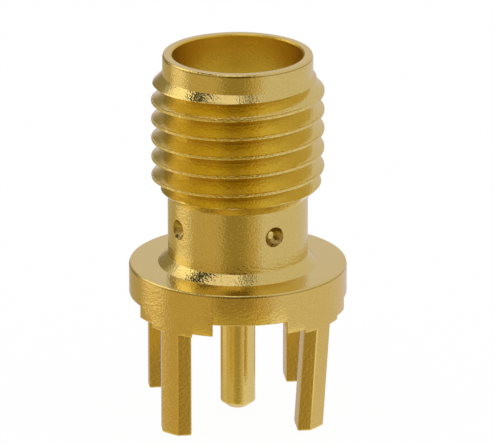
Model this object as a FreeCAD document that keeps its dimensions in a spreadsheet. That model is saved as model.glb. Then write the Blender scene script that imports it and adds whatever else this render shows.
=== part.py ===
# Coaxial jack with a threaded coupling end, a round flange and four legs for a circuit board.
# The board lies in the plane z = 0, the axis is Z and the mating end points up.
import FreeCAD, Part
import os
import Sketcher

SIZES = (
    ("mating_height", 9.42, "from the board up to the mating face"),
    ("standoff_height", 0.44, "from the board up to the underside of the flange"),
    ("flange_thickness", 1.14, ""),
    ("flange_diameter", 7.9, ""),
    ("flange_edge", 0.09, "chamfer round the top of the flange"),
    ("cone_diameter", 5.88, "foot of the cone between flange and neck"),
    ("cone_height", 0.3, ""),
    ("neck_diameter", 5.07, ""),
    ("thread_diameter", 6.24, "outside diameter of the quarter inch, 36 turns per inch thread"),
    ("thread_length", 3.56, "stretch of full diameter between the two 45 degree ends"),
    ("nose_diameter", 5.42, ""),
    ("nose_length", 0.73, "plain stretch above the thread"),
    ("nose_edge", 0.1, "chamfer outside the mating face"),
    ("bore_diameter", 4.72, "bore that takes the mating barrel"),
    ("bore_depth", 1.9, "from the mating face down to the insulator"),
    ("bore_edge", 0.05, "chamfer inside the mating face"),
    ("insulator_bore_diameter", 4.12, "bore that holds the insulator"),
    ("insulator_clearance", 0.01, "gap between insulator and body, on the radius"),
    ("contact_clearance", 0.01, "gap between contact and insulator, all round"),
    ("channel_width", 2.68, "crossed channels under the flange, between the standoffs"),
    ("leg_pitch", 5.08, "from leg centre to leg centre"),
    ("leg_width", 1.0, ""),
    ("leg_length", 4.0, "below the board's top face"),
    ("leg_edge", 0.05, "chamfer round the end of each leg"),
    ("root_height", 0.13, "shoulder left at the root of each leg"),
    ("bent_leg_shift", 0.24, "how far the foot of one leg has been pushed towards its neighbour"),
    ("stake_height", 3.19, "height of the staking marks above the board"),
    ("stake_mouth", 0.76, "diameter of a mark at the surface of the neck"),
    ("stake_tip", 0.28, "diameter of its flat bottom"),
    ("stake_depth", 0.29, ""),
    ("stake_angle", -65.3, "place of the first mark round the axis"),
    ("contact_diameter", 1.27, ""),
    ("contact_recess", 0.05, "end of the contact below the face of the insulator"),
    ("pin_length", 4.0, "solder pin below the board's top face"),
    ("pin_tip_diameter", 0.72, ""),
    ("pin_tip_length", 0.22, ""),
    ("ring_diameter", 1.6, "barbed ring that keeps the contact in the insulator"),
    ("ring_drop", 0.1, "foot of the ring below the insulator's underside"),
    ("ring_length", 0.5, ""),
    ("socket_diameter", 0.94, "socket for the mating pin"),
    ("socket_depth", 2.9, ""),
    ("socket_edge", 0.1, "chamfer in the socket's mouth"),
    ("slot_width", 0.16, "slots that split the socket into four fingers"),
    ("slot_length", 2.1, ""),
    ("cutter_margin", 0.2, "how far a cut runs past the surface that it opens"),
)

doc = FreeCAD.newDocument("coaxial_jack")


def make_sheet():
    sheet = doc.addObject("Spreadsheet::Sheet", "sizes")
    for row, (name, value, note) in enumerate(SIZES, start=1):
        sheet.set(f"A{row}", name)
        sheet.set(f"B{row}", str(value))
        sheet.set(f"C{row}", note)
        sheet.setAlias(f"B{row}", name)
    doc.recompute()


# Heights above the lowest plane of the body, which is the plane of its feet
BOARD = "sizes.leg_length"
ROOT = "sizes.leg_length - sizes.root_height"
FLANGE_FOOT = f"{BOARD} + sizes.standoff_height"
FLANGE_TOP = f"{FLANGE_FOOT} + sizes.flange_thickness"
MATING_FACE = f"{BOARD} + sizes.mating_height"
INSULATOR_FACE = f"{MATING_FACE} - sizes.bore_depth"
THREAD_TOP = f"{MATING_FACE} - sizes.nose_length - (sizes.thread_diameter - sizes.nose_diameter) / 2"
THREAD_FOOT = f"{THREAD_TOP} - sizes.thread_length"
NECK_TOP = f"{THREAD_FOOT} - (sizes.thread_diameter - sizes.neck_diameter) / 2"
LEG_INSIDE = "(sizes.leg_pitch - sizes.leg_width) / 2"
LEG_OUTSIDE = "(sizes.leg_pitch + sizes.leg_width) / 2"


def radius(name):
    return f"sizes.{name} / 2"


def add_body(name, drop):
    # A body's own zero is its lowest plane, so that its heights are positive
    body = doc.addObject("PartDesign::Body", name)
    body.Label = name
    body.setExpression("Placement.Base.z", f"-{drop}")
    return body


def origin_feature(body, role):
    return next(feature for feature in body.Origin.OriginFeatures if feature.Role == role)


def add_sketch(body, name, role, height=None):
    sketch = body.newObject("Sketcher::SketchObject", name)
    sketch.AttachmentSupport = [(origin_feature(body, role), "")]
    sketch.MapMode = "FlatFace"
    if height is not None:
        sketch.setExpression("AttachmentOffset.Base.z", height)
    return sketch


def bind(sketch, constraint, *geometry, size):
    value = float(sketch.evalExpression(size))
    index = sketch.addConstraint(Sketcher.Constraint(constraint, *geometry, value))
    sketch.setExpression(f"Constraints[{index}]", size)


def place_point(sketch, line, end, across, up):
    # The sketch's own origin is vertex 1 of geometry -1, its axes are -1 and -2
    if across == "0":
        sketch.addConstraint(Sketcher.Constraint("PointOnObject", line, end, -2))
    elif across is not None:
        bind(sketch, "DistanceX", -1, 1, line, end, size=across)
    if up == "0":
        sketch.addConstraint(Sketcher.Constraint("PointOnObject", line, end, -1))
    elif up is not None:
        bind(sketch, "DistanceY", -1, 1, line, end, size=up)


def add_outline(sketch, points):
    # A closed outline of straight lines, whose corners are given as pairs of expressions
    corners = []
    for across, up in points:
        corners.append(FreeCAD.Vector(sketch.evalExpression(across), sketch.evalExpression(up), 0))
    for start, end in zip(corners, corners[1:] + corners[:1]):
        sketch.addGeometry(Part.LineSegment(start, end), False)
    for line, (across, up) in enumerate(points):
        following = (line + 1) % len(points)
        sketch.addConstraint(Sketcher.Constraint("Coincident", line, 2, following, 1))
        place_point(sketch, line, 1, across, up)


def add_quadrant(sketch, inside, outside=None, mirrored=False):
    # The part of a disc beyond two crossed lines, closed by the flange's own circle.
    # An outside limit cuts it down to a square that keeps the circle as its outer corner,
    # unless the flange is so small that the circle never reaches that limit.
    side = -1 if mirrored else 1
    near = float(sketch.evalExpression(inside))
    rim = float(sketch.evalExpression(radius("flange_diameter")))
    far = (rim**2 - near**2) ** 0.5
    if outside is not None and float(sketch.evalExpression(outside)) >= far:
        outside = None
    tip = far
    if outside is not None:
        tip = float(sketch.evalExpression(outside))
        far = (rim**2 - tip**2) ** 0.5
    first = FreeCAD.Vector(tip, side * (near if outside is None else far), 0)
    last = FreeCAD.Vector(near if outside is None else far, side * tip, 0)
    middle = FreeCAD.Vector(rim * 0.5**0.5, side * rim * 0.5**0.5, 0)
    corner = FreeCAD.Vector(near, side * near, 0)
    path = [last, corner, first]
    if outside is not None:
        path = [last, FreeCAD.Vector(near, side * tip, 0), corner, FreeCAD.Vector(tip, side * near, 0), first]
    arc = sketch.addGeometry(Part.Arc(first, middle, last), False)
    lines = [sketch.addGeometry(Part.LineSegment(a, b), False) for a, b in zip(path, path[1:])]
    # The arc is stored counterclockwise, so a mirrored one starts at the other end
    arc_first, arc_last = (2, 1) if mirrored else (1, 2)
    sketch.addConstraint(Sketcher.Constraint("Coincident", arc, 3, -1, 1))
    bind(sketch, "Radius", arc, size=radius("flange_diameter"))
    sketch.addConstraint(Sketcher.Constraint("Coincident", arc, arc_last, lines[0], 1))
    sketch.addConstraint(Sketcher.Constraint("Coincident", lines[-1], 2, arc, arc_first))
    for before, after in zip(lines, lines[1:]):
        sketch.addConstraint(Sketcher.Constraint("Coincident", before, 2, after, 1))
    flip = "-" if mirrored else ""
    if outside is None:
        sketch.addConstraint(Sketcher.Constraint("Vertical", lines[0]))
        sketch.addConstraint(Sketcher.Constraint("Horizontal", lines[1]))
        place_point(sketch, lines[0], 2, inside, f"{flip}({inside})")
    else:
        sketch.addConstraint(Sketcher.Constraint("Horizontal", lines[0]))
        sketch.addConstraint(Sketcher.Constraint("Vertical", lines[1]))
        sketch.addConstraint(Sketcher.Constraint("Horizontal", lines[2]))
        sketch.addConstraint(Sketcher.Constraint("Vertical", lines[3]))
        place_point(sketch, lines[1], 2, inside, f"{flip}({inside})")
        place_point(sketch, lines[0], 2, None, f"{flip}({outside})")
        place_point(sketch, lines[2], 2, outside, None)


def turn(body, kind, name, points):
    # A full turn of an outline in the XZ plane about the body's axis
    sketch = add_sketch(body, f"{name}_outline", "XZ_Plane")
    add_outline(sketch, points)
    feature = body.newObject(kind, name)
    feature.Profile = sketch
    feature.ReferenceAxis = (sketch, ["V_Axis"])
    feature.Angle = 360
    return feature


def extrude(body, name, sketch, length):
    feature = body.newObject("PartDesign::Pad", name)
    feature.Profile = sketch
    feature.setExpression("Length", length)
    return feature


def repeat(body, name, feature, count, angle):
    pattern = body.newObject("PartDesign::PolarPattern", name)
    pattern.Originals = [feature]
    pattern.Axis = (origin_feature(body, "Z_Axis"), [""])
    pattern.Angle = angle
    pattern.Occurrences = count
    body.Tip = pattern
    return pattern


def add_standoffs_and_legs(body):
    standoff = add_sketch(body, "standoff_outline", "XY_Plane", BOARD)
    add_quadrant(standoff, radius("channel_width"))
    pad = extrude(body, "standoff", standoff, "sizes.standoff_height")
    repeat(body, "standoffs", pad, 4, 360)

    shoulder = add_sketch(body, "leg_root_outline", "XY_Plane", ROOT)
    add_quadrant(shoulder, LEG_INSIDE)
    root = extrude(body, "leg_root", shoulder, "sizes.root_height")
    repeat(body, "leg_roots", root, 4, 360)

    # Each leg keeps the flange's circle as its outer face
    section = add_sketch(body, "leg_outline", "XY_Plane")
    add_quadrant(section, LEG_INSIDE, LEG_OUTSIDE)
    leg = extrude(body, "leg", section, ROOT)
    repeat(body, "straight_legs", leg, 3, 180)

    # The fourth leg leans: its foot is the same outline, moved along X
    top = add_sketch(body, "bent_leg_top", "XY_Plane", ROOT)
    add_quadrant(top, LEG_INSIDE, LEG_OUTSIDE, mirrored=True)
    foot = add_sketch(body, "bent_leg_foot", "XY_Plane")
    foot.setExpression("AttachmentOffset.Base.x", "-sizes.bent_leg_shift")
    add_quadrant(foot, LEG_INSIDE, LEG_OUTSIDE, mirrored=True)
    bent = body.newObject("PartDesign::AdditiveLoft", "bent_leg")
    bent.Profile = foot
    bent.Sections = [top]
    bent.Ruled = True
    return bent


def add_stake_marks(body):
    # A flat-tipped punch is driven into the neck square to its surface, at four places
    sketch = add_sketch(body, "stake_outline", "XZ_Plane")
    sketch.AttachmentOffset = FreeCAD.Placement(FreeCAD.Vector(), FreeCAD.Vector(0, 1, 0), 0)
    sketch.setExpression("AttachmentOffset.Rotation.Angle", "sizes.stake_angle")
    neck = radius("neck_diameter")
    middle = f"{BOARD} + sizes.stake_height"
    slope = "(sizes.stake_mouth - sizes.stake_tip) / 2 / sizes.stake_depth"
    beyond = f"{neck} + sizes.cutter_margin"
    add_outline(sketch, (
        (f"{neck} - sizes.stake_depth", middle),
        (beyond, middle),
        (beyond, f"{middle} + sizes.stake_mouth / 2 + sizes.cutter_margin * {slope}"),
        (f"{neck} - sizes.stake_depth", f"{middle} + sizes.stake_tip / 2"),
    ))
    mark = body.newObject("PartDesign::Groove", "stake_mark")
    mark.Profile = sketch
    mark.ReferenceAxis = (sketch, ["Edge1"])
    mark.Angle = 360
    repeat(body, "stake_marks", mark, 4, 360)


def break_foot_edges(body, before):
    doc.recompute()
    edges = []
    for number, edge in enumerate(before.Shape.Edges, start=1):
        if edge.BoundBox.ZMax < 1e-6:
            edges.append(f"Edge{number}")
    chamfer = body.newObject("PartDesign::Chamfer", "foot_edges")
    chamfer.Base = (before, edges)
    chamfer.setExpression("Size", "sizes.leg_edge")
    body.Tip = chamfer


def make_connector_body():
    body = add_body("connector_body", "sizes.leg_length")
    rim = radius("flange_diameter")
    nose = radius("nose_diameter")
    turn(body, "PartDesign::Revolution", "turned_blank", (
        ("0", FLANGE_FOOT),
        (rim, FLANGE_FOOT),
        (rim, f"{FLANGE_TOP} - sizes.flange_edge"),
        (f"{rim} - sizes.flange_edge", FLANGE_TOP),
        (radius("cone_diameter"), FLANGE_TOP),
        (radius("neck_diameter"), f"{FLANGE_TOP} + sizes.cone_height"),
        (radius("neck_diameter"), NECK_TOP),
        (radius("thread_diameter"), THREAD_FOOT),
        (radius("thread_diameter"), THREAD_TOP),
        (nose, f"{MATING_FACE} - sizes.nose_length"),
        (nose, f"{MATING_FACE} - sizes.nose_edge"),
        (f"{nose} - sizes.nose_edge", MATING_FACE),
        ("0", MATING_FACE),
    ))
    last_leg = add_standoffs_and_legs(body)
    break_foot_edges(body, last_leg)
    bore = radius("bore_diameter")
    hold = radius("insulator_bore_diameter")
    turn(body, "PartDesign::Groove", "stepped_bore", (
        ("0", f"{BOARD} - sizes.cutter_margin"),
        (hold, f"{BOARD} - sizes.cutter_margin"),
        (hold, INSULATOR_FACE),
        (bore, INSULATOR_FACE),
        (bore, f"{MATING_FACE} - sizes.bore_edge"),
        (f"{bore} + sizes.bore_edge", MATING_FACE),
        (f"{bore} + sizes.bore_edge", f"{MATING_FACE} + sizes.cutter_margin"),
        ("0", f"{MATING_FACE} + sizes.cutter_margin"),
    ))
    add_stake_marks(body)
    return body


def make_insulator():
    # Heights here are counted from the underside of the flange
    body = add_body("insulator", "0")
    body.setExpression("Placement.Base.z", "sizes.standoff_height")
    top = "sizes.mating_height - sizes.bore_depth - sizes.standoff_height"
    outside = f"{radius('insulator_bore_diameter')} - sizes.insulator_clearance"
    hole = f"{radius('contact_diameter')} + sizes.contact_clearance"
    pocket = f"{radius('ring_diameter')} + sizes.contact_clearance"
    pocket_depth = "sizes.ring_length - sizes.ring_drop + sizes.contact_clearance"
    turn(body, "PartDesign::Revolution", "sleeve", (
        (pocket, "0"),
        (outside, "0"),
        (outside, top),
        (hole, top),
        (hole, pocket_depth),
        (pocket, pocket_depth),
    ))
    return body


def make_contact():
    body = add_body("contact", "sizes.pin_length")
    end = "sizes.pin_length + sizes.mating_height - sizes.bore_depth - sizes.contact_recess"
    side = radius("contact_diameter")
    ring = radius("ring_diameter")
    ring_foot = "sizes.pin_length + sizes.standoff_height - sizes.ring_drop"
    turn(body, "PartDesign::Revolution", "rod", (
        ("0", "0"),
        (radius("pin_tip_diameter"), "0"),
        (side, "sizes.pin_tip_length"),
        (side, ring_foot),
        (ring, ring_foot),
        (side, f"{ring_foot} + sizes.ring_length"),
        (side, end),
        ("0", end),
    ))
    socket = radius("socket_diameter")
    floor = f"{end} - sizes.socket_depth"
    turn(body, "PartDesign::Groove", "socket", (
        ("0", f"{floor} - {socket} / 2"),
        (socket, floor),
        (socket, f"{end} - sizes.socket_edge"),
        (f"{socket} + sizes.socket_edge", end),
        (f"{socket} + sizes.socket_edge", f"{end} + sizes.cutter_margin"),
        ("0", f"{end} + sizes.cutter_margin"),
    ))
    for name, role in (("slot_across", "XZ_Plane"), ("slot_along", "YZ_Plane")):
        sketch = add_sketch(body, f"{name}_outline", role)
        add_outline(sketch, (
            ("-sizes.slot_width / 2", f"{end} - sizes.slot_length"),
            ("sizes.slot_width / 2", f"{end} - sizes.slot_length"),
            ("sizes.slot_width / 2", f"{end} + sizes.cutter_margin"),
            ("-sizes.slot_width / 2", f"{end} + sizes.cutter_margin"),
        ))
        slot = body.newObject("PartDesign::Pocket", name)
        slot.Profile = sketch
        slot.Type = "ThroughAll"
        slot.Midplane = True
    return body


def check(bodies):
    for thing in doc.Objects:
        if "Invalid" in thing.State or "Error" in thing.State:
            raise RuntimeError(f"{thing.Name} failed: {thing.State}")
    for body in bodies:
        if body.Shape.isNull() or not body.Shape.isValid() or len(body.Shape.Solids) != 1:
            raise RuntimeError(f"{body.Label} is not one valid solid")


def main():
    make_sheet()
    bodies = [make_connector_body(), make_insulator(), make_contact()]
    doc.recompute()
    check(bodies)
    os.makedirs("parts", exist_ok=True)
    for body in bodies:
        box = body.Shape.BoundBox
        print(f"{body.Label}: {body.Shape.Volume:.3f} mm3, z {box.ZMin:.2f} to {box.ZMax:.2f}")
        body.Shape.exportStep(f"parts/{body.Label}.step")


main()
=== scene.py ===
import math

import bmesh
import bpy
from mathutils import Matrix, Vector


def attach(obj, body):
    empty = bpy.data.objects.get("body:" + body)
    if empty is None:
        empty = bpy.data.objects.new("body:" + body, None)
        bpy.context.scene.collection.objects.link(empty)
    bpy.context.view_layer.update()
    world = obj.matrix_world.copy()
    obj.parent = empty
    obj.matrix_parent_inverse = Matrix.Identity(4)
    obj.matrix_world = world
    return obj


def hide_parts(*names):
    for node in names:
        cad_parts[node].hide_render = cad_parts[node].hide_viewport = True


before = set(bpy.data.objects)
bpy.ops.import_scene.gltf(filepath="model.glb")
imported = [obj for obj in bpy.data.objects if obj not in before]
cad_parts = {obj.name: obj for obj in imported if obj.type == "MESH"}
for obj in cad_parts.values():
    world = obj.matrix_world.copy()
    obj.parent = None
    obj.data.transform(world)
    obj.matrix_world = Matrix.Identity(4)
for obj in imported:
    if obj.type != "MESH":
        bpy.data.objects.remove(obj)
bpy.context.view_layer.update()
mm = 0.001
weldNear = 1e-4    # mm, joins neighbouring parts of a mesh
weldTiny = 1e-5
arcSteps = 4       # faces in the rounding of an edge
mixA, mixB, mixOut = 6, 7, 2    # a colour Mix node's sockets
print("frame loaded:", sorted(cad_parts))


# Small helpers

def toLinear(hexColour):
    # sRGB hex value to the linear colour that a socket wants
    channels = [int(hexColour[i:i + 2], 16) / 255 for i in (1, 3, 5)]
    linear = [c / 12.92 if c <= 0.04045 else ((c + 0.055) / 1.055) ** 2.4 for c in channels]
    return (*linear, 1.0)


def addNode(tree, kind, settings=None, inputs=None, links=None):
    # settings are the node's own properties, inputs are socket values, links are sockets that feed it
    node = tree.nodes.new(kind)
    for name, value in (settings or {}).items():
        setattr(node, name, value)
    for name, value in (inputs or {}).items():
        node.inputs[name].default_value = value
    for name, source in (links or {}).items():
        tree.links.new(source, node.inputs[name])
    return node


def newMaterial(name):
    material = bpy.data.materials.new(name)
    material.use_nodes = True
    material.node_tree.nodes.clear()
    return material, material.node_tree


def placeMesh(name, bm):
    # mesh code works in millimetres, the scene in metres
    bmesh.ops.recalc_face_normals(bm, faces=bm.faces)
    mesh = bpy.data.meshes.new(name)
    bm.to_mesh(mesh)
    bm.free()
    mesh.transform(Matrix.Scale(mm, 4))
    piece = bpy.data.objects.new(name, mesh)
    bpy.context.scene.collection.objects.link(piece)
    return piece


def finishMesh(name, bm, material):
    bmesh.ops.remove_doubles(bm, verts=bm.verts, dist=weldTiny)
    for face in bm.faces:
        face.material_index = 0
    piece = placeMesh(name, bm)
    piece.data.materials.append(material)
    return piece


def applyModifiers(piece):
    # bakes the modifiers of a piece into its own mesh
    graph = bpy.context.evaluated_depsgraph_get()
    mesh = bpy.data.meshes.new_from_object(piece.evaluated_get(graph), depsgraph=graph)
    old = piece.data
    piece.modifiers.clear()
    piece.data = mesh
    bpy.data.meshes.remove(old)
    mesh.name = piece.name


def smoothShaded(piece):
    # large faces keep their own shading, the narrow broken edges take the bend
    mesh = piece.data
    mesh.polygons.foreach_set("use_smooth", [True] * len(mesh.polygons))
    mesh.set_sharp_from_angle(angle=math.radians(40))
    weighted = piece.modifiers.new("weightedNormals", "WEIGHTED_NORMAL")
    weighted.keep_sharp = True
    weighted.weight = 100
    weighted.mode = "FACE_AREA"
    applyModifiers(piece)
    return piece


def roundedOutline(corners):
    # corners are (radius, height, rounding); a rounding above 0 becomes a short arc
    outline = []
    for i, (r, z, rounding) in enumerate(corners):
        if rounding == 0 or i in (0, len(corners) - 1):
            outline.append((r, z))
            continue
        here = Vector((r, z))
        before = (Vector(corners[i - 1][:2]) - here).normalized()
        after = (Vector(corners[i + 1][:2]) - here).normalized()
        half = math.acos(max(-1, min(1, before.dot(after)))) / 2
        start = here + before * rounding / math.tan(half)
        end = here + after * rounding / math.tan(half)
        centre = here + (before + after).normalized() * rounding / math.sin(half)
        for k in range(arcSteps + 1):
            chord = start.lerp(end, k / arcSteps) - centre
            outline.append(tuple(centre + chord.normalized() * rounding))
    return outline


def evenAngles(count):
    return [k * 2 * math.pi / count for k in range(count)]


def turnOutline(bm, outline, angles):
    # a closed turn of an open outline; a point on the axis becomes one vertex
    rings = []
    for r, z in outline:
        if r < 1e-6:
            rings.append([bm.verts.new((0, 0, z))] * len(angles))
            continue
        rings.append([bm.verts.new((r * math.cos(a), r * math.sin(a), z)) for a in angles])
    for lower, upper in zip(rings, rings[1:]):
        for i in range(len(angles)):
            j = (i + 1) % len(angles)
            corners = []
            for vertex in (lower[i], lower[j], upper[j], upper[i]):
                if vertex not in corners:
                    corners.append(vertex)
            if len(corners) > 2:
                bm.faces.new(corners)


def cutAway(piece, cutters):
    for number, cutter in enumerate(cutters):
        cut = piece.modifiers.new(f"cut{number}", "BOOLEAN")
        cut.operation = "DIFFERENCE"
        cut.solver = "MANIFOLD"
        cut.object = cutter
    applyModifiers(piece)
    for cutter in cutters:
        mesh = cutter.data
        bpy.data.objects.remove(cutter)
        bpy.data.meshes.remove(mesh)


# Camera, at the place the photograph was taken from

camera = {
    "target": (0.3306, -0.0402, 3.04),  # mm
    "azimuth": -96.93,                  # degrees round Z, counted from +X
    "elevation": 18.761,
    "distance": 207.307,
    "focalLength": 417.6,               # a long macro lens, on a 36 mm wide sensor
}


def makeCamera():
    around = math.radians(camera["azimuth"])
    up = math.radians(camera["elevation"])
    back = Vector((math.cos(around) * math.cos(up), math.sin(around) * math.cos(up), math.sin(up)))
    data = bpy.data.cameras.new("productCamera")
    data.lens = camera["focalLength"]
    data.sensor_width = 36
    data.clip_start = 0.01
    data.clip_end = 10
    item = bpy.data.objects.new("productCamera", data)
    bpy.context.scene.collection.objects.link(item)
    item.location = (Vector(camera["target"]) + back * camera["distance"]) * mm
    item.rotation_mode = "QUATERNION"
    item.rotation_quaternion = (-back).to_track_quat("-Z", "Y")
    bpy.context.scene.camera = item


makeCamera()
bpy.context.scene.view_settings.view_transform = "Standard"
print("camera in place")


# Gold plating

border = 0.01      # mm, half the width of the step from one zone of the plating to the next


def makeGold(name, look):
    # turned brass, tumbled and gold plated: a fine grain over the marks that the lathe tool left
    material, tree = newMaterial(name)
    place = addNode(tree, "ShaderNodeTexCoord")
    inMillimetres = addNode(tree, "ShaderNodeVectorMath", {"operation": "SCALE"}, {"Scale": 1000.0},
                            {0: place.outputs["Object"]}).outputs[0]
    axes = addNode(tree, "ShaderNodeSeparateXYZ", {}, {}, {0: inMillimetres}).outputs
    flat = addNode(tree, "ShaderNodeCombineXYZ", {}, {}, {"X": axes["X"], "Y": axes["Y"]})
    radius = addNode(tree, "ShaderNodeVectorMath", {"operation": "LENGTH"}, {}, {0: flat.outputs[0]})

    # tool marks: short strokes round the part that lean one way on the flange and the other way above it
    lean = addNode(tree, "ShaderNodeMapRange", {}, {
        "From Min": look["leanTurnsAt"] - border, "From Max": look["leanTurnsAt"] + border,
        "To Min": -look["lean"], "To Max": look["lean"],
    }, {"Value": axes["Z"]})
    feed = addNode(tree, "ShaderNodeMath", {"operation": "ADD"}, {},
                   {0: axes["Z"], 1: radius.outputs["Value"]})
    leaning = addNode(tree, "ShaderNodeMath", {"operation": "MULTIPLY_ADD"}, {},
                      {0: axes["X"], 1: lean.outputs[0], 2: feed.outputs[0]})
    alongFeed = addNode(tree, "ShaderNodeCombineXYZ", {}, {},
                        {"X": axes["X"], "Y": axes["Y"], "Z": leaning.outputs[0]})
    stretched = addNode(tree, "ShaderNodeMapping", {}, {"Scale": look["marksPerMm"]},
                        {"Vector": alongFeed.outputs[0]})
    marks = addNode(tree, "ShaderNodeTexNoise", {}, {"Scale": 1.0, "Detail": 0.0},
                    {"Vector": stretched.outputs[0]})

    # only walls show them, and the milled legs and the bore are free of them
    facing = addNode(tree, "ShaderNodeSeparateXYZ", {}, {}, {0: place.outputs["Normal"]})
    tilt = addNode(tree, "ShaderNodeMath", {"operation": "ABSOLUTE"}, {}, {0: facing.outputs["Z"]})
    slanting, upright = look["wallTilt"]
    steep = addNode(tree, "ShaderNodeMapRange", {}, {
        "From Min": slanting, "From Max": upright, "To Max": look["markHeight"],
    }, {"Value": tilt.outputs[0]})
    turned = addNode(tree, "ShaderNodeMapRange", {}, {
        "From Min": look["turnedAbove"] - 0.1, "From Max": look["turnedAbove"] + 0.1,
    }, {"Value": axes["Z"]})
    wide = addNode(tree, "ShaderNodeMapRange", {}, {
        "From Min": look["boredInside"], "From Max": look["boredInside"] + 2 * border,
    }, {"Value": radius.outputs["Value"]})
    underBore = addNode(tree, "ShaderNodeMapRange", {}, {
        "From Min": look["boredAbove"], "From Max": look["boredAbove"] - 2 * border,
    }, {"Value": axes["Z"]})
    outside = addNode(tree, "ShaderNodeMath", {"operation": "MAXIMUM"}, {},
                      {0: wide.outputs[0], 1: underBore.outputs[0]})
    markHeight = marks
    for share in (steep, turned, outside):
        markHeight = addNode(tree, "ShaderNodeMath", {"operation": "MULTIPLY"}, {},
                             {0: markHeight.outputs[0], 1: share.outputs[0]})

    coarse = addNode(tree, "ShaderNodeTexNoise", {}, {"Scale": look["grainPerMm"], "Detail": 0.0},
                     {"Vector": inMillimetres})
    fine = addNode(tree, "ShaderNodeTexNoise", {}, {"Scale": look["specksPerMm"], "Detail": 0.0},
                   {"Vector": inMillimetres})
    # the crests of the thread took knocks in the tumbler
    crest = addNode(tree, "ShaderNodeMapRange", {}, {
        "From Min": look["knockedOutside"], "From Max": look["knockedOutside"] + 3 * border,
    }, {"Value": radius.outputs["Value"]})
    overFlange = addNode(tree, "ShaderNodeMath", {"operation": "GREATER_THAN"},
                         {1: look["knockedAbove"]}, {0: axes["Z"]})
    onCrest = addNode(tree, "ShaderNodeMath", {"operation": "MULTIPLY"}, {},
                      {0: crest.outputs[0], 1: overFlange.outputs[0]})
    grainHeight = addNode(tree, "ShaderNodeMapRange", {}, {
        "To Min": look["grainHeight"], "To Max": look["knockHeight"],
    }, {"Value": onCrest.outputs[0]})
    withGrain = addNode(tree, "ShaderNodeMath", {"operation": "MULTIPLY_ADD"}, {},
                        {0: coarse.outputs[0], 1: grainHeight.outputs[0], 2: markHeight.outputs[0]})
    withSpecks = addNode(tree, "ShaderNodeMath", {"operation": "MULTIPLY_ADD"}, {1: look["speckHeight"]},
                         {0: fine.outputs[0], 2: withGrain.outputs[0]})
    bump = addNode(tree, "ShaderNodeBump", {}, {"Strength": 1.0, "Distance": mm},
                   {"Height": withSpecks.outputs[0]})

    # pores of the plating are a shade darker; the foot is deeper in colour; the reamed bore is duller, and
    # painted shade makes its gold deeper and darker
    pores = addNode(tree, "ShaderNodeMapRange", {}, {"From Min": 0.35, "From Max": 0.65},
                    {"Value": fine.outputs[0]})
    plated = addNode(tree, "ShaderNodeMix", {"data_type": "RGBA"},
                     {mixA: toLinear(look["poreColour"]), mixB: toLinear(look["colour"])},
                     {0: pores.outputs[0]})
    below = addNode(tree, "ShaderNodeMapRange", {}, {
        "From Min": look["deeperBelow"] + border, "From Max": look["deeperBelow"] - border,
    }, {"Value": axes["Z"]})
    deeper = addNode(tree, "ShaderNodeMix", {"data_type": "RGBA", "blend_type": "MULTIPLY"},
                     {mixB: look["deeperTint"]}, {0: below.outputs[0], mixA: plated.outputs[mixOut]})
    # painted shade: the bore takes a deeper, darker gold
    boreShaded = addNode(tree, "ShaderNodeMix", {"data_type": "RGBA"}, {mixA: toLinear(look["boreShadeColour"])},
                    {0: outside.outputs[0], mixB: deeper.outputs[mixOut]})

    # painted shade: the walls of the stake marks, between their floor and the skin of the neck, are painted
    # darker
    floorRadius, skinRadius = look["stakedRadii"]
    overFloor = addNode(tree, "ShaderNodeMapRange", {}, {
        "From Min": floorRadius - border, "From Max": floorRadius + border,
    }, {"Value": radius.outputs["Value"]})
    underSkin = addNode(tree, "ShaderNodeMapRange", {}, {
        "From Min": skinRadius + border, "From Max": skinRadius - border,
    }, {"Value": radius.outputs["Value"]})
    atMarks = addNode(tree, "ShaderNodeMath", {"operation": "COMPARE"}, {1: look["stakedLevel"], 2: 0.5},
                      {0: axes["Z"]})
    wall = addNode(tree, "ShaderNodeMath", {"operation": "MULTIPLY"}, {},
                   {0: overFloor.outputs[0], 1: underSkin.outputs[0]})
    stakeWallShade = addNode(tree, "ShaderNodeMath", {"operation": "MULTIPLY"}, {},
                     {0: wall.outputs[0], 1: atMarks.outputs[0]})
    # painted shade: a dark line round the edges of flange and mating face, as dark as the stake marks' walls
    paintedShade = stakeWallShade
    for level, reach in look["shadedEdgeLevels"]:
        atEdge = addNode(tree, "ShaderNodeMath", {"operation": "COMPARE"}, {1: level, 2: reach},
                         {0: axes["Z"]})
        onSkin = addNode(tree, "ShaderNodeMath", {"operation": "MULTIPLY"}, {},
                         {0: atEdge.outputs[0], 1: wide.outputs[0]})
        paintedShade = addNode(tree, "ShaderNodeMath", {"operation": "MAXIMUM"}, {},
                       {0: paintedShade.outputs[0], 1: onSkin.outputs[0]})
    # the painted shade goes over the plating in its own dark colour
    colour = addNode(tree, "ShaderNodeMix", {"data_type": "RGBA"}, {mixB: toLinear(look["paintedShadeColour"])},
                     {0: paintedShade.outputs[0], mixA: boreShaded.outputs[mixOut]})
    dull = addNode(tree, "ShaderNodeMapRange", {}, {
        "To Min": look["boreRoughness"], "To Max": look["roughness"],
    }, {"Value": outside.outputs[0]})
    shader = addNode(tree, "ShaderNodeBsdfPrincipled", {}, {"Metallic": 1.0}, {
        "Base Color": colour.outputs[mixOut], "Roughness": dull.outputs[0], "Normal": bump.outputs[0]})
    addNode(tree, "ShaderNodeOutputMaterial", {}, {}, {"Surface": shader.outputs[0]})
    return material


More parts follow.
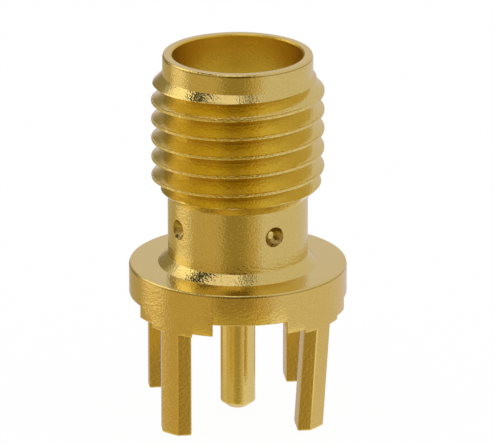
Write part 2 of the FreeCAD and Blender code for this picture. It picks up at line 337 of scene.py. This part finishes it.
plating = {
    "colour": "#EBD77D",
    "poreColour": "#E0CB72",
    "roughness": 0.12,
    "grainPerMm": 15.0,
    "grainHeight": 0.0065,          # mm, as the other heights
    "knockedOutside": 3.07,
    "knockedAbove": 2.0,
    "knockHeight": 0.024,
    "specksPerMm": 26.0,
    "speckHeight": 0.003,
    "marksPerMm": (3.5, 3.5, 11.0),
    "markHeight": 0.006,
    "wallTilt": (0.6, 0.3),         # height of the normal, where the marks begin and where they are full
    "lean": 0.35,
    "leanTurnsAt": 1.56,            # at the flange's upper edge
    "turnedAbove": 0.5,
    "boredInside": 2.4,
    "boredAbove": 7.0,
    "boreRoughness": 0.3,
    # painted shade of the deep bore, a deeper and darker gold
    "boreShadeColour": "#E6C648",
    "stakedRadii": (2.26, 2.525),
    "stakedLevel": 3.19,
    # painted shade, for the walls of the stake marks and the dark lines round the flange's and mating face's
    # edges
    "paintedShadeColour": "#BBA55A",
    "deeperBelow": 1.53,            # the flange's wall and all under it
    "deeperTint": (1.015, 0.94, 0.82, 1.0),
    # levels of the painted dark shade lines round the flange's and mating face's edges
    "shadedEdgeLevels": ((1.51, 0.02), (9.345, 0.02)),
}
smoothPlating = {
    **plating,
    "colour": "#F6E288",
    "poreColour": "#EDD87F",
    "roughness": 0.18,
    "grainPerMm": 13.0,
    "grainHeight": 0.003,
    "knockHeight": 0.003,
    "specksPerMm": 27.0,
    "speckHeight": 0.002,
    "marksPerMm": (1.0, 1.0, 12.0),
    "markHeight": 0.002,
    "lean": 0.0,
    "turnedAbove": -4.5,
    "boredInside": 0.5,
    "boredAbove": 4.5,
    "boreRoughness": 0.18,
    # painted shade inside the contact's socket, a little darker
    "boreShadeColour": "#EBD57B",
    "deeperBelow": -5.0,
    "shadedEdgeLevels": (),
}
satinGold = makeGold("satinGoldPlating", plating)
smoothGold = makeGold("smoothGoldPlating", smoothPlating)


def makeWhitePlastic():
    # fluoropolymer rod, turned and left as the tool cut it: dull and a little warm
    material, tree = newMaterial("turnedFluoropolymer")
    shader = addNode(tree, "ShaderNodeBsdfPrincipled", {}, {
        "Base Color": toLinear("#F1F0EA"),
        "Roughness": 0.45,
        "IOR": 1.35,
    })
    addNode(tree, "ShaderNodeOutputMaterial", {}, {}, {"Surface": shader.outputs[0]})
    return material


whitePlastic = makeWhitePlastic()
print("materials made")


# Threaded body

body = {
    "columns": 360,
    "matingFace": 9.42,
    # edges are steps inward, steps down and roundings
    "rimEdge": ((0, 0.105, 0.1), (0.02, 0.035, 0.03), (0.05, 0, 0.015)),
    "noseRadius": 2.71,
    "boreRadius": 2.36,
    "boreEdge": 0.05,
    "boreRounding": 0.02,
    "boreFloor": 7.52,
    "insulatorBore": 2.06,
    "insulatorEdge": 0.02,
    "insulatorSeam": (0.06, 0.12),
    "neckRadius": 2.535,
    "neckTop": 4.135,
    "coneRadius": 2.89,
    "coneTop": 1.91,
    "coneFillets": (0.03, 0.05),
    "markRows": (2.6, 3.8, 13),    # rows of faces under the staking marks: first, last, count
    "flangeTop": 1.58,
    "flangeRadius": 3.95,
    "flangeEdge": ((0, 0.095, 0.1), (0.018, 0.03, 0.03), (0.042, 0, 0.012)),
    "threadTop": 8.69,
    "wallJoin": 1.2,
    "joinRadius": 3.15,
    "joinSeam": 0.05,
    "standoffTop": 0.44,
    "board": 0.0,
    "rootFoot": -0.13,
    "legFoot": -4.0,
    "channelHalf": 1.34,
    "legInside": 2.04,
    "legOutside": 3.04,
    "brokenEdge": 0.045,
    "footRound": 0.1,
    "footCuts": 5,
    "footDraw": 0.6,
    "bentLegShift": 0.24,
}

thread = {
    "Pitch": 0.70556,
    "Crest Radius": 3.12,
    "Root Fillet": 0.008,
    "Crest Flat": 0.08,
    "Crest Height": 4.5296,   # where a crest passes the +X side
    "Foot Height": 4.135,
    "Foot Radius": 2.535,
    "Top Height": 8.69,
    "Top Radius": 2.71,
    "Rounding": 0.02,
    "Columns": 360,
    "Rows Per Turn": 25,
}


def buildThreadTree():
    tree = bpy.data.node_groups.new("cutThread", "GeometryNodeTree")
    tree.interface.new_socket("Geometry", in_out="INPUT", socket_type="NodeSocketGeometry")
    tree.interface.new_socket("Geometry", in_out="OUTPUT", socket_type="NodeSocketGeometry")
    for name, value in thread.items():
        kind = "NodeSocketInt" if isinstance(value, int) else "NodeSocketFloat"
        tree.interface.new_socket(name, in_out="INPUT", socket_type=kind)
    tree.interface.new_socket("Material", in_out="INPUT", socket_type="NodeSocketMaterial")
    size = addNode(tree, "NodeGroupInput").outputs

    # X of a grid point is its turn round the axis, Y its row; every row climbs with the thread
    place = addNode(tree, "ShaderNodeSeparateXYZ", {}, {},
                    {0: addNode(tree, "GeometryNodeInputPosition").outputs[0]}).outputs
    values = {**{item.name: item for item in size}, "across": place["X"], "along": place["Y"]}
    slope = -1 / math.tan(math.radians(30))
    for name, operation, *terms in (
        ("rowStep", "DIVIDE", "Pitch", "Rows Per Turn"),
        ("reach", "SUBTRACT", "Top Height", "Foot Height"),
        ("rowsInReach", "DIVIDE", "reach", "rowStep"),
        ("wholeRows", "CEIL", "rowsInReach"),
        ("spareRows", "MULTIPLY_ADD", "Rows Per Turn", 2, 3),
        ("rows", "ADD", "wholeRows", "spareRows"),
        ("columns", "ADD", "Columns", 1),
        ("turn", "ADD", "across", 0.5),
        ("angle", "MULTIPLY", "turn", 2 * math.pi),
        ("rowShare", "ADD", "along", 0.5),
        ("lastRow", "SUBTRACT", "rows", 1),
        ("rowNumber", "MULTIPLY", "rowShare", "lastRow"),
        ("row", "ROUND", "rowNumber"),
        # the first row lies whole turns below the foot, half a row off the middle of a crest
        ("crestOverFoot", "SUBTRACT", "Crest Height", "Foot Height"),
        ("turnsOverFoot", "DIVIDE", "crestOverFoot", "Pitch"),
        ("wholeTurns", "CEIL", "turnsOverFoot"),
        ("turnsDown", "MULTIPLY_ADD", "wholeTurns", -1, -1),
        ("first", "MULTIPLY_ADD", "turnsDown", "Pitch", "Crest Height"),
        ("climb", "MULTIPLY", "turn", "Pitch"),
        ("crestHere", "ADD", "Crest Height", "climb"),
        ("firstHere", "ADD", "first", "climb"),
        ("middleOfRow", "ADD", "row", 0.5),
        ("rowHeight", "MULTIPLY_ADD", "middleOfRow", "rowStep", "firstHere"),
        ("overFoot", "MAXIMUM", "rowHeight", "Foot Height"),
        ("height", "MINIMUM", "overFoot", "Top Height"),
        # 30 degree flanks on both sides of the crest
        ("halfPitch", "MULTIPLY", "Pitch", 0.5),
        ("overCrest", "SUBTRACT", "height", "crestHere"),
        ("offCrest", "PINGPONG", "overCrest", "halfPitch"),
        ("offFlat", "MULTIPLY_ADD", "Crest Flat", -0.5, "offCrest"),
        ("flank", "MULTIPLY_ADD", "offFlat", slope, "Crest Radius"),
        # a round fillet where two flanks meet
        ("halfGap", "MULTIPLY_ADD", "Crest Flat", -0.5, "halfPitch"),
        ("apex", "MULTIPLY_ADD", "halfGap", slope, "Crest Radius"),
        ("offRoot", "SUBTRACT", "halfPitch", "offCrest"),
        ("offSquared", "MULTIPLY", "offRoot", "offRoot"),
        ("filletSquared", "MULTIPLY", "Root Fillet", "Root Fillet"),
        ("inside", "SUBTRACT", "filletSquared", "offSquared"),
        ("insideOrNone", "MAXIMUM", "inside", 0.0),
        ("dip", "SQRT", "insideOrNone"),
        ("filletCentre", "MULTIPLY_ADD", "Root Fillet", 2, "apex"),
        ("fillet", "SUBTRACT", "filletCentre", "dip"),
        ("filletReach", "MULTIPLY", "Root Fillet", math.cos(math.radians(30))),
        ("isRoot", "LESS_THAN", "offRoot", "filletReach"),
        ("overFlank", "SUBTRACT", "fillet", "flank"),
        ("groove", "MULTIPLY_ADD", "isRoot", "overFlank", "flank"),
        ("cut", "SMOOTH_MIN", "groove", "Crest Radius", "Rounding"),
        # both ends are turned down at 45 degrees, and the groove runs out through them
        ("overFootEnd", "SUBTRACT", "height", "Foot Height"),
        ("footCone", "ADD", "Foot Radius", "overFootEnd"),
        ("underTop", "SUBTRACT", "Top Height", "height"),
        ("topCone", "ADD", "Top Radius", "underTop"),
        ("noseLevel", "ADD", "Top Radius", "Rounding"),
        ("noseSide", "MULTIPLY_ADD", "underTop", -2, "noseLevel"),
        ("overNose", "MAXIMUM", "cut", "noseSide"),
        ("overFootCone", "SMOOTH_MIN", "overNose", "footCone", "Rounding"),
        ("radius", "SMOOTH_MIN", "overFootCone", "topCone", "Rounding"),
        ("cosine", "COSINE", "angle"),
        ("sine", "SINE", "angle"),
        ("x", "MULTIPLY", "radius", "cosine"),
        ("y", "MULTIPLY", "radius", "sine"),
    ):
        links = {i: values[term] for i, term in enumerate(terms) if isinstance(term, str)}
        numbers = {i: term for i, term in enumerate(terms) if not isinstance(term, str)}
        values[name] = addNode(tree, "ShaderNodeMath", {"operation": operation}, numbers, links).outputs[0]
    grid = addNode(tree, "GeometryNodeMeshGrid", {}, {"Size X": 1.0, "Size Y": 1.0},
                   {"Vertices X": values["columns"], "Vertices Y": values["rows"]})
    spot = addNode(tree, "ShaderNodeCombineXYZ", {}, {},
                   {"X": values["x"], "Y": values["y"], "Z": values["height"]})
    formed = addNode(tree, "GeometryNodeSetPosition", {}, {},
                     {"Geometry": grid.outputs["Mesh"], "Position": spot.outputs[0]})
    closed = addNode(tree, "GeometryNodeMergeByDistance", {}, {"Distance": weldNear},
                     {"Geometry": formed.outputs[0]})
    real = addNode(tree, "GeometryNodeRealizeInstances", {}, {}, {"Geometry": closed.outputs[0]})
    coloured = addNode(tree, "GeometryNodeSetMaterial", {}, {},
                       {"Geometry": real.outputs[0], "Material": size["Material"]})
    addNode(tree, "NodeGroupOutput", {}, {}, {"Geometry": coloured.outputs[0]})
    return tree


def makeThread(material):
    tree = buildThreadTree()
    carrier = bpy.data.objects.new("threadCarrier", bpy.data.meshes.new("threadCarrier"))
    bpy.context.scene.collection.objects.link(carrier)
    modifier = carrier.modifiers.new("cutThread", "NODES")
    modifier.node_group = tree
    wanted = {**thread, "Material": material}
    for item in tree.interface.items_tree:
        if item.in_out == "INPUT" and item.name in wanted:
            modifier[item.identifier] = wanted[item.name]
    graph = bpy.context.evaluated_depsgraph_get()
    mesh = bpy.data.meshes.new_from_object(carrier.evaluated_get(graph), depsgraph=graph)
    bpy.data.objects.remove(carrier)
    return mesh


def milledColumns():
    # the milled edges fall exactly on columns, with about one degree between the others
    edges = [
        0,
        math.asin(body["channelHalf"] / body["flangeRadius"]),
        math.asin(body["legInside"] / body["flangeRadius"]),
        math.acos(body["legOutside"] / body["flangeRadius"]),
        math.asin(body["channelHalf"] / body["insulatorBore"]),
    ]
    edges = edges + [math.pi / 4] + [math.pi / 2 - a for a in reversed(edges)]
    quarter = []
    for a, b in zip(edges, edges[1:]):
        steps = max(1, round(math.degrees(b - a)))
        quarter += [a + (b - a) * k / steps for k in range(steps)]
    return edges, quarter


def addMilledFoot(bm):
    # standoffs, leg shoulders and legs: what the crossed cuts of the mill leave of the blank
    edges, quarter = milledColumns()
    _, channelEdge, rootEdge, legEdge, boreEdge, _, boreEnd, legEnd, rootEnd, channelEnd, rightAngle = edges
    outer = body["flangeRadius"]
    bore = body["insulatorBore"]
    half, inside, outside = body["channelHalf"], body["legInside"], body["legOutside"]
    known = {}

    def vertex(x, y, z, turnBy):
        c, s = math.cos(turnBy), math.sin(turnBy)
        spot = (x * c - y * s, x * s + y * c, z)
        key = tuple(round(v, 4) + 0.0 for v in spot)
        if key not in known:
            known[key] = bm.verts.new(spot)
        return known[key]

    def face(points, turnBy):
        bm.faces.new([vertex(*point, turnBy) for point in points])

    def arc(r, start, end, z):
        # columns from start to end, either way round
        low, high = min(start, end), max(start, end)
        angles = [a for a in quarter + [rightAngle] if low - 1e-9 <= a <= high + 1e-9]
        if start > end:
            angles.reverse()
        return [(r * math.cos(a), r * math.sin(a), z) for a in angles]

    def flip(points):
        # the other half of a quarter is its mirror image across the diagonal
        return [(y, x, z) for x, y, z in points]

    def down(point, z):
        return (point[0], point[1], z)

    levels = [body["wallJoin"], body["standoffTop"], body["board"], body["rootFoot"], body["legFoot"]]
    for number in range(4):
        turnBy = number * math.pi / 2
        columns = quarter + [rightAngle]
        for a, b in zip(columns, columns[1:]):
            middle = min((a + b) / 2, rightAngle - (a + b) / 2)
            depth = 1 + (middle > channelEdge) + (middle > rootEdge) + (middle > legEdge)
            for high, low in zip(levels[:depth], levels[1:depth + 1]):
                face([(outer * math.cos(t), outer * math.sin(t), z)
                      for t, z in ((a, high), (b, high), (b, low), (a, low))], turnBy)
            depth = 2 if middle > boreEdge else 1
            for high, low in zip(levels[:depth], levels[1:depth + 1]):
                face([(bore * math.cos(t), bore * math.sin(t), z)
                      for t, z in ((a, high), (b, high), (b, low), (a, low))], turnBy)
        top, board, root, foot = levels[1:]
        # floor of the channel that runs out along this quarter's first axis
        side = arc(outer, 0, channelEdge, top)
        innerSide = arc(bore, boreEdge, 0, top)
        mirroredSide = [(x, -y, z) for x, y, z in reversed(side)][:-1]
        mirroredInner = [(x, -y, z) for x, y, z in reversed(innerSide)][1:]
        face(mirroredSide + side + innerSide + mirroredInner, turnBy)
        # underside of the standoff, in the plane of the board
        face(arc(outer, channelEdge, rootEdge, board) + [(inside, inside, board)]
             + arc(outer, rootEnd, channelEnd, board) + arc(bore, boreEnd, boreEdge, board), turnBy)
        # end of the leg
        face([(inside, inside, foot), (outside, inside, foot)] + arc(outer, legEdge, legEnd, foot)
             + [(inside, outside, foot)], turnBy)
        padOut = (outer * math.cos(channelEdge), half)
        padIn = (bore * math.cos(boreEdge), half)
        rootOut = (outer * math.cos(rootEdge), inside)
        legOut = (outside, outer * math.sin(legEdge))
        for turned in (list, flip):
            face(turned([down(padOut, top), down(padIn, top),
                         down(padIn, board), down(padOut, board)]), turnBy)
            face(turned([(inside, inside, board), down(rootOut, board), down(rootOut, root),
                         (outside, inside, root), (inside, inside, root)]), turnBy)
            face(turned([(inside, inside, root), (outside, inside, root),
                         (outside, inside, foot), (inside, inside, foot)]), turnBy)
            face(turned([(outside, inside, root)] + arc(outer, rootEdge, legEdge, root)), turnBy)
            face(turned([(outside, inside, root), down(legOut, root), down(legOut, foot),
                         (outside, inside, foot)]), turnBy)


def breakMilledEdges(bm):
    # a light deburr on every outside edge of the milled foot; the rim of the bore stays sharp
    bmesh.ops.recalc_face_normals(bm, faces=bm.faces)
    limit = math.radians(25)
    edges = []
    for edge in bm.edges:
        if not edge.is_manifold or max(v.co.z for v in edge.verts) > body["standoffTop"] + 1e-4:
            continue
        if max(v.co.xy.length for v in edge.verts) < body["insulatorBore"] + 0.01:
            continue
        if edge.calc_face_angle_signed() > limit:
            edges.append(edge)
    bmesh.ops.bevel(bm, geom=edges, offset=body["brokenEdge"], offset_type="OFFSET", segments=3,
                    profile=0.5, affect="EDGES", clamp_overlap=False)


def roundFeet(bm):
    # tumbling wears the ends of the legs most: each one draws in towards its own middle
    depth = body["footRound"]
    middle = (body["legInside"] + body["legOutside"]) / 2
    half = (body["legOutside"] - body["legInside"]) / 2
    for k in range(body["footCuts"]):
        height = body["legFoot"] + depth * ((k + 1) / body["footCuts"]) ** 1.5
        parts = bm.verts[:] + bm.edges[:] + bm.faces[:]
        bmesh.ops.bisect_plane(bm, geom=parts, plane_co=(0, 0, height), plane_no=(0, 0, 1), dist=1e-5)
    for vertex in bm.verts:
        x, y, z = vertex.co
        left = body["legFoot"] + depth - z
        if left <= 0:
            continue
        inset = depth - math.sqrt(max(0, depth**2 - min(left, depth)**2))
        share = 1 - inset * body["footDraw"] / half
        centreX, centreY = math.copysign(middle, x), math.copysign(middle, y)
        vertex.co.x = centreX + (x - centreX) * share
        vertex.co.y = centreY + (y - centreY) * share


def bendLeg(bm):
    # the leg on the +X, -Y side has been pushed towards its neighbour
    length = body["rootFoot"] - body["legFoot"]
    for vertex in bm.verts:
        x, y, z = vertex.co
        if z < body["rootFoot"] and x > 0 > y:
            vertex.co.x -= body["bentLegShift"] * (body["rootFoot"] - z) / length


def bridge(bm, height, near, far):
    # joins two rings with different columns across a flat face
    edges = []
    for edge in bm.edges:
        level = all(abs(v.co.z - height) < weldNear for v in edge.verts)
        between = all(near - 1e-3 < v.co.xy.length < far + 1e-3 for v in edge.verts)
        if edge.is_boundary and level and between:
            edges.append(edge)
    bmesh.ops.bridge_loops(bm, edges=edges)


stakeMark = {
    "height": 3.19,
    "firstAngle": -65.3,
    "depth": 0.29,
    "profile": (                   # radius of the mark, and how far its wall stands off the neck's surface
        (0, -0.29), (0.12, -0.29), (0.135, -0.284), (0.35, -0.04), (0.362, -0.015), (0.378, 0.002),
        (0.4, 0.2), (0, 0.2),
    ),
    "columns": 48,
}


def makeStakeCutter(number):
    # wrapped round the neck, so that the rolled rim of the mark follows the cylinder
    bm = bmesh.new()
    middle = math.radians(stakeMark["firstAngle"]) + number * math.pi / 2
    neck = body["neckRadius"]
    turnOutline(bm, stakeMark["profile"], evenAngles(stakeMark["columns"]))
    for vertex in bm.verts:
        across, up, off = vertex.co
        angle = middle + across / neck
        vertex.co = ((neck + off) * math.cos(angle), (neck + off) * math.sin(angle), stakeMark["height"] + up)
    return placeMesh("stakeCutter", bm)


def makeBody():
    bm = bmesh.new()
    addMilledFoot(bm)
    bmesh.ops.remove_doubles(bm, verts=bm.verts, dist=weldNear)
    breakMilledEdges(bm)
    roundFeet(bm)
    bendLeg(bm)
    _, quarter = milledColumns()
    milled = [a + k * math.pi / 2 for k in range(4) for a in quarter]
    even = evenAngles(body["columns"])
    flange, top, join = body["flangeRadius"], body["flangeTop"], body["joinRadius"]
    seam = join + body["joinSeam"]
    turnOutline(bm, roundedOutline([
        (flange, body["wallJoin"], 0),
        *[(flange - inward, top - down, rounding) for inward, down, rounding in body["flangeEdge"]],
        (seam, top, 0),
    ]), milled)
    hole, holeEdge, floor = body["insulatorBore"], body["insulatorEdge"], body["boreFloor"]
    nearSeam, farSeam = [hole + off for off in body["insulatorSeam"]]
    turnOutline(bm, [
        (hole, body["wallJoin"]),
        (hole, floor - holeEdge),
        (hole + holeEdge, floor),
        (nearSeam, floor),
    ], milled)
    neck = body["neckRadius"]
    first, last, count = body["markRows"]
    footFillet, neckFillet = body["coneFillets"]
    turnOutline(bm, roundedOutline([
        (join, top, 0),
        (body["coneRadius"], top, footFillet),
        (neck, body["coneTop"], neckFillet),
        *[(neck, first + (last - first) * k / (count - 1), 0) for k in range(count)],
        (neck, body["neckTop"], 0),
    ]), even)
    nose, face = body["noseRadius"], body["matingFace"]
    bore, edge, rounding = body["boreRadius"], body["boreEdge"], body["boreRounding"]
    turnOutline(bm, roundedOutline([
        (nose, body["threadTop"], 0),
        *[(nose - inward, face - down, bend) for inward, down, bend in body["rimEdge"]],
        (bore + edge, face, rounding),
        (bore, face - edge, rounding),
        (bore, floor, 0),
        (farSeam, floor, 0),
    ]), even)
    bm.from_mesh(makeThread(satinGold))
    bmesh.ops.remove_doubles(bm, verts=bm.verts, dist=weldNear)
    bridge(bm, top, join, seam)
    bridge(bm, floor, nearSeam, farSeam)
    piece = finishMesh("threadedBody", bm, satinGold)
    cutAway(piece, [makeStakeCutter(number) for number in range(4)])
    return smoothShaded(piece)


threadedBody = makeBody()
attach(threadedBody, "root")
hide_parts("connector_body")
print("threaded body made:", len(threadedBody.data.polygons))


# Insulator and centre contact

insulator = {
    "outside": 2.05,
    "hole": 0.645,
    "pocket": 0.81,
    "pocketTop": 0.85,
    "foot": 0.44,
    "face": 7.52,
    "columns": 128,
}

contact = {
    "radius": 0.635,
    "foot": -4.0,
    "tipRadius": 0.36,
    "tipTop": -3.78,
    "ringRadius": 0.8,
    "ringFoot": 0.34,
    "ringTop": 0.84,
    "end": 7.47,
    "socketRadius": 0.47,
    "socketFloor": 4.57,
    "socketEdge": 0.1,
    "slotWidth": 0.16,
    "slotLength": 2.1,
    "columns": 96,
}


def makeInsulator():
    bm = bmesh.new()
    size = insulator
    turnOutline(bm, roundedOutline([
        (size["pocket"], size["pocketTop"], 0),
        (size["pocket"], size["foot"], 0.015),
        (size["outside"], size["foot"], 0.03),
        (size["outside"], size["face"], 0.03),
        (size["hole"], size["face"], 0.015),
        (size["hole"], size["pocketTop"], 0),
        (size["pocket"], size["pocketTop"], 0),
    ]), evenAngles(size["columns"]))
    piece = finishMesh("dielectric", bm, whitePlastic)
    return smoothShaded(piece)


def makeSlotCutter(turned):
    # a slitting saw's cut, across the whole socket
    half = contact["slotWidth"] / 2
    low, high = contact["end"] - contact["slotLength"], contact["end"] + 0.2
    bm = bmesh.new()
    bmesh.ops.create_cube(bm, size=1)
    for vertex in bm.verts:
        across, along, up = vertex.co
        spot = (across * 2, along * 2 * half, low + (up + 0.5) * (high - low))
        vertex.co = (spot[1], spot[0], spot[2]) if turned else spot
    return placeMesh("slotCutter", bm)


def makeContact():
    bm = bmesh.new()
    size = contact
    socket = size["socketRadius"]
    turnOutline(bm, roundedOutline([
        (0, size["foot"], 0),
        (size["tipRadius"], size["foot"], 0.06),
        (size["radius"], size["tipTop"], 0.08),
        (size["radius"], size["ringFoot"], 0),
        (size["ringRadius"], size["ringFoot"], 0.02),
        (size["radius"], size["ringTop"], 0),
        (size["radius"], size["end"], 0.03),
        (socket + size["socketEdge"], size["end"], 0.015),
        (socket, size["end"] - size["socketEdge"], 0.03),
        (socket, size["socketFloor"], 0),
        (0, size["socketFloor"] - socket / 2, 0),
    ]), evenAngles(size["columns"]))
    piece = finishMesh("centreContact", bm, smoothGold)
    cutAway(piece, [makeSlotCutter(False), makeSlotCutter(True)])
    return smoothShaded(piece)


dielectric = makeInsulator()
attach(dielectric, "root")
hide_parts("insulator")
centreContact = makeContact()
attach(centreContact, "root")
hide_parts("contact")
print("insulator and contact made:", len(dielectric.data.polygons), len(centreContact.data.polygons))


# Studio

studio = {
    "floorHeight": -4.0,
    "floorRadius": 1500.0,
    "floorGlow": 0.97,
    "wall": (0.69, 0.63, 0.72),
    # what stands round the table: azimuth counted from the camera to the right, elevation, both in degrees,
    # then how soft the border is and what comes back from it
    "panels": (
        ("topCard", -180, 11, 60.5, 90, 4, (0.95, 0.86, 1.05)),
        ("topShade", 18, 42, 62, 80, 6, (0.14, 0.13, 0.13)),
        ("warmBoard", -84, 36, -90, 35, 12, (0.55, 0.42, 0.24)),
        ("cameraSide", -24, 18, -90, 40, 18, (0.33, 0.24, 0.095)),
        ("darkCornerLow", -166, -116, -90, -10, 8, (0.50, 0.41, 0.25)),
        ("darkCornerHigh", -166, -124, -10, 28, 8, (0.30, 0.25, 0.17)),
        ("stripLow", -118, -87, -90, -18, 8, (0.56, 0.44, 0.26)),
        ("stripMiddle", -118, -87, -20, 10, 8, (1.02, 0.86, 0.80)),
        ("stripHigh", -124, -86, 8, 49, 4, (1.34, 1.22, 1.28)),
        ("gapAboveStrip", -130, -45, 50, 61, 2, (0.02, 0.018, 0.015)),
        ("lens", -18, 24, 2, 46, 10, (0.17, 0.115, 0.03)),
        ("wallFoot", 36, 180, -90, -30, 10, (0.92, 0.89, 0.95)),
        ("warmFoot", -84, 36, -90, -30, 10, (0.72, 0.60, 0.24)),
        ("cameraFoot", -24, 18, -90, -30, 16, (0.44, 0.34, 0.14)),
        ("stripFoot", -130, -87, -90, -30, 8, (1.05, 0.90, 0.48)),
        ("tablePaper", -180, 180, -90, -48, 6, (0.72, 0.64, 0.60)),
    ),
}


def makeWorld():
    world = bpy.data.worlds.new("studio")
    bpy.context.scene.world = world
    world.use_nodes = True
    tree = world.node_tree
    tree.nodes.clear()
    direction = addNode(tree, "ShaderNodeTexCoord").outputs["Generated"]
    turned = addNode(tree, "ShaderNodeVectorRotate", {"rotation_type": "Z_AXIS"},
                     {"Angle": -math.radians(camera["azimuth"])}, {"Vector": direction})
    axes = addNode(tree, "ShaderNodeSeparateXYZ", {}, {}, {0: turned.outputs[0]}).outputs
    around = addNode(tree, "ShaderNodeMath", {"operation": "ARCTAN2"}, {}, {0: axes[1], 1: axes[0]})
    azimuth = addNode(tree, "ShaderNodeMath", {"operation": "DEGREES"}, {}, {0: around.outputs[0]}).outputs[0]
    rise = addNode(tree, "ShaderNodeMath", {"operation": "ARCSINE"}, {}, {0: axes[2]})
    elevation = addNode(tree, "ShaderNodeMath", {"operation": "DEGREES"}, {}, {0: rise.outputs[0]}).outputs[0]
    colour = addNode(tree, "ShaderNodeRGB").outputs[0]
    colour.default_value = (*studio["wall"], 1)
    for name, left, right, low, high, soft, paint in studio["panels"]:
        cover = None
        for source, start, end in ((azimuth, left, right), (elevation, low, high)):
            for edge, sign in ((start, 1), (end, -1)):
                if abs(edge) in (90, 180):
                    continue  # runs on to the pole or all the way round
                ramp = addNode(tree, "ShaderNodeMapRange", {"interpolation_type": "SMOOTHSTEP"}, {
                    "From Min": edge - sign * soft / 2, "From Max": edge + sign * soft / 2,
                }, {"Value": source}).outputs[0]
                if cover is not None:
                    ramp = addNode(tree, "ShaderNodeMath", {"operation": "MULTIPLY"}, {},
                                   {0: cover, 1: ramp}).outputs[0]
                cover = ramp
        mix = addNode(tree, "ShaderNodeMix", {"data_type": "RGBA", "label": name}, {mixB: (*paint, 1)},
                      {0: cover, mixA: colour})
        colour = mix.outputs[mixOut]
    # the plating mirrors the cards, everything else sees plain white paper
    cards = addNode(tree, "ShaderNodeBackground", {}, {"Strength": 1.0}, {"Color": colour})
    paper = addNode(tree, "ShaderNodeBackground", {}, {"Color": (1, 1, 1, 1), "Strength": 1.0})
    rays = addNode(tree, "ShaderNodeLightPath")
    seen = addNode(tree, "ShaderNodeMixShader", {}, {}, {
        "Fac": rays.outputs["Is Glossy Ray"], 1: paper.outputs[0], 2: cards.outputs[0]})
    addNode(tree, "ShaderNodeOutputWorld", {}, {}, {"Surface": seen.outputs[0]})


def makeFloor():
    # white paper that only the camera sees; from below it is clear, so the underside can be looked at
    material, tree = newMaterial("whitePaper")
    matte = addNode(tree, "ShaderNodeBsdfDiffuse", {}, {"Color": toLinear("#F4F4F4")})
    glow = addNode(tree, "ShaderNodeEmission", {}, {"Color": (1, 1, 1, 1), "Strength": 1.0})
    front = addNode(tree, "ShaderNodeMixShader", {}, {"Fac": studio["floorGlow"]},
                    {1: matte.outputs[0], 2: glow.outputs[0]})
    clear = addNode(tree, "ShaderNodeBsdfTransparent")
    side = addNode(tree, "ShaderNodeNewGeometry")
    both = addNode(tree, "ShaderNodeMixShader", {}, {}, {
        "Fac": side.outputs["Backfacing"], 1: front.outputs[0], 2: clear.outputs[0]})
    addNode(tree, "ShaderNodeOutputMaterial", {}, {}, {"Surface": both.outputs[0]})
    bm = bmesh.new()
    bmesh.ops.create_circle(bm, cap_ends=True, segments=96, radius=studio["floorRadius"])
    for vertex in bm.verts:
        vertex.co.z = studio["floorHeight"]
    floor = finishMesh("paperFloor", bm, material)
    if floor.data.polygons[0].normal.z < 0:
        floor.data.flip_normals()
    floor.visible_diffuse = False
    floor.visible_glossy = False
    floor.visible_transmission = False
    floor.visible_shadow = False


makeWorld()
makeFloor()
print("studio lit")
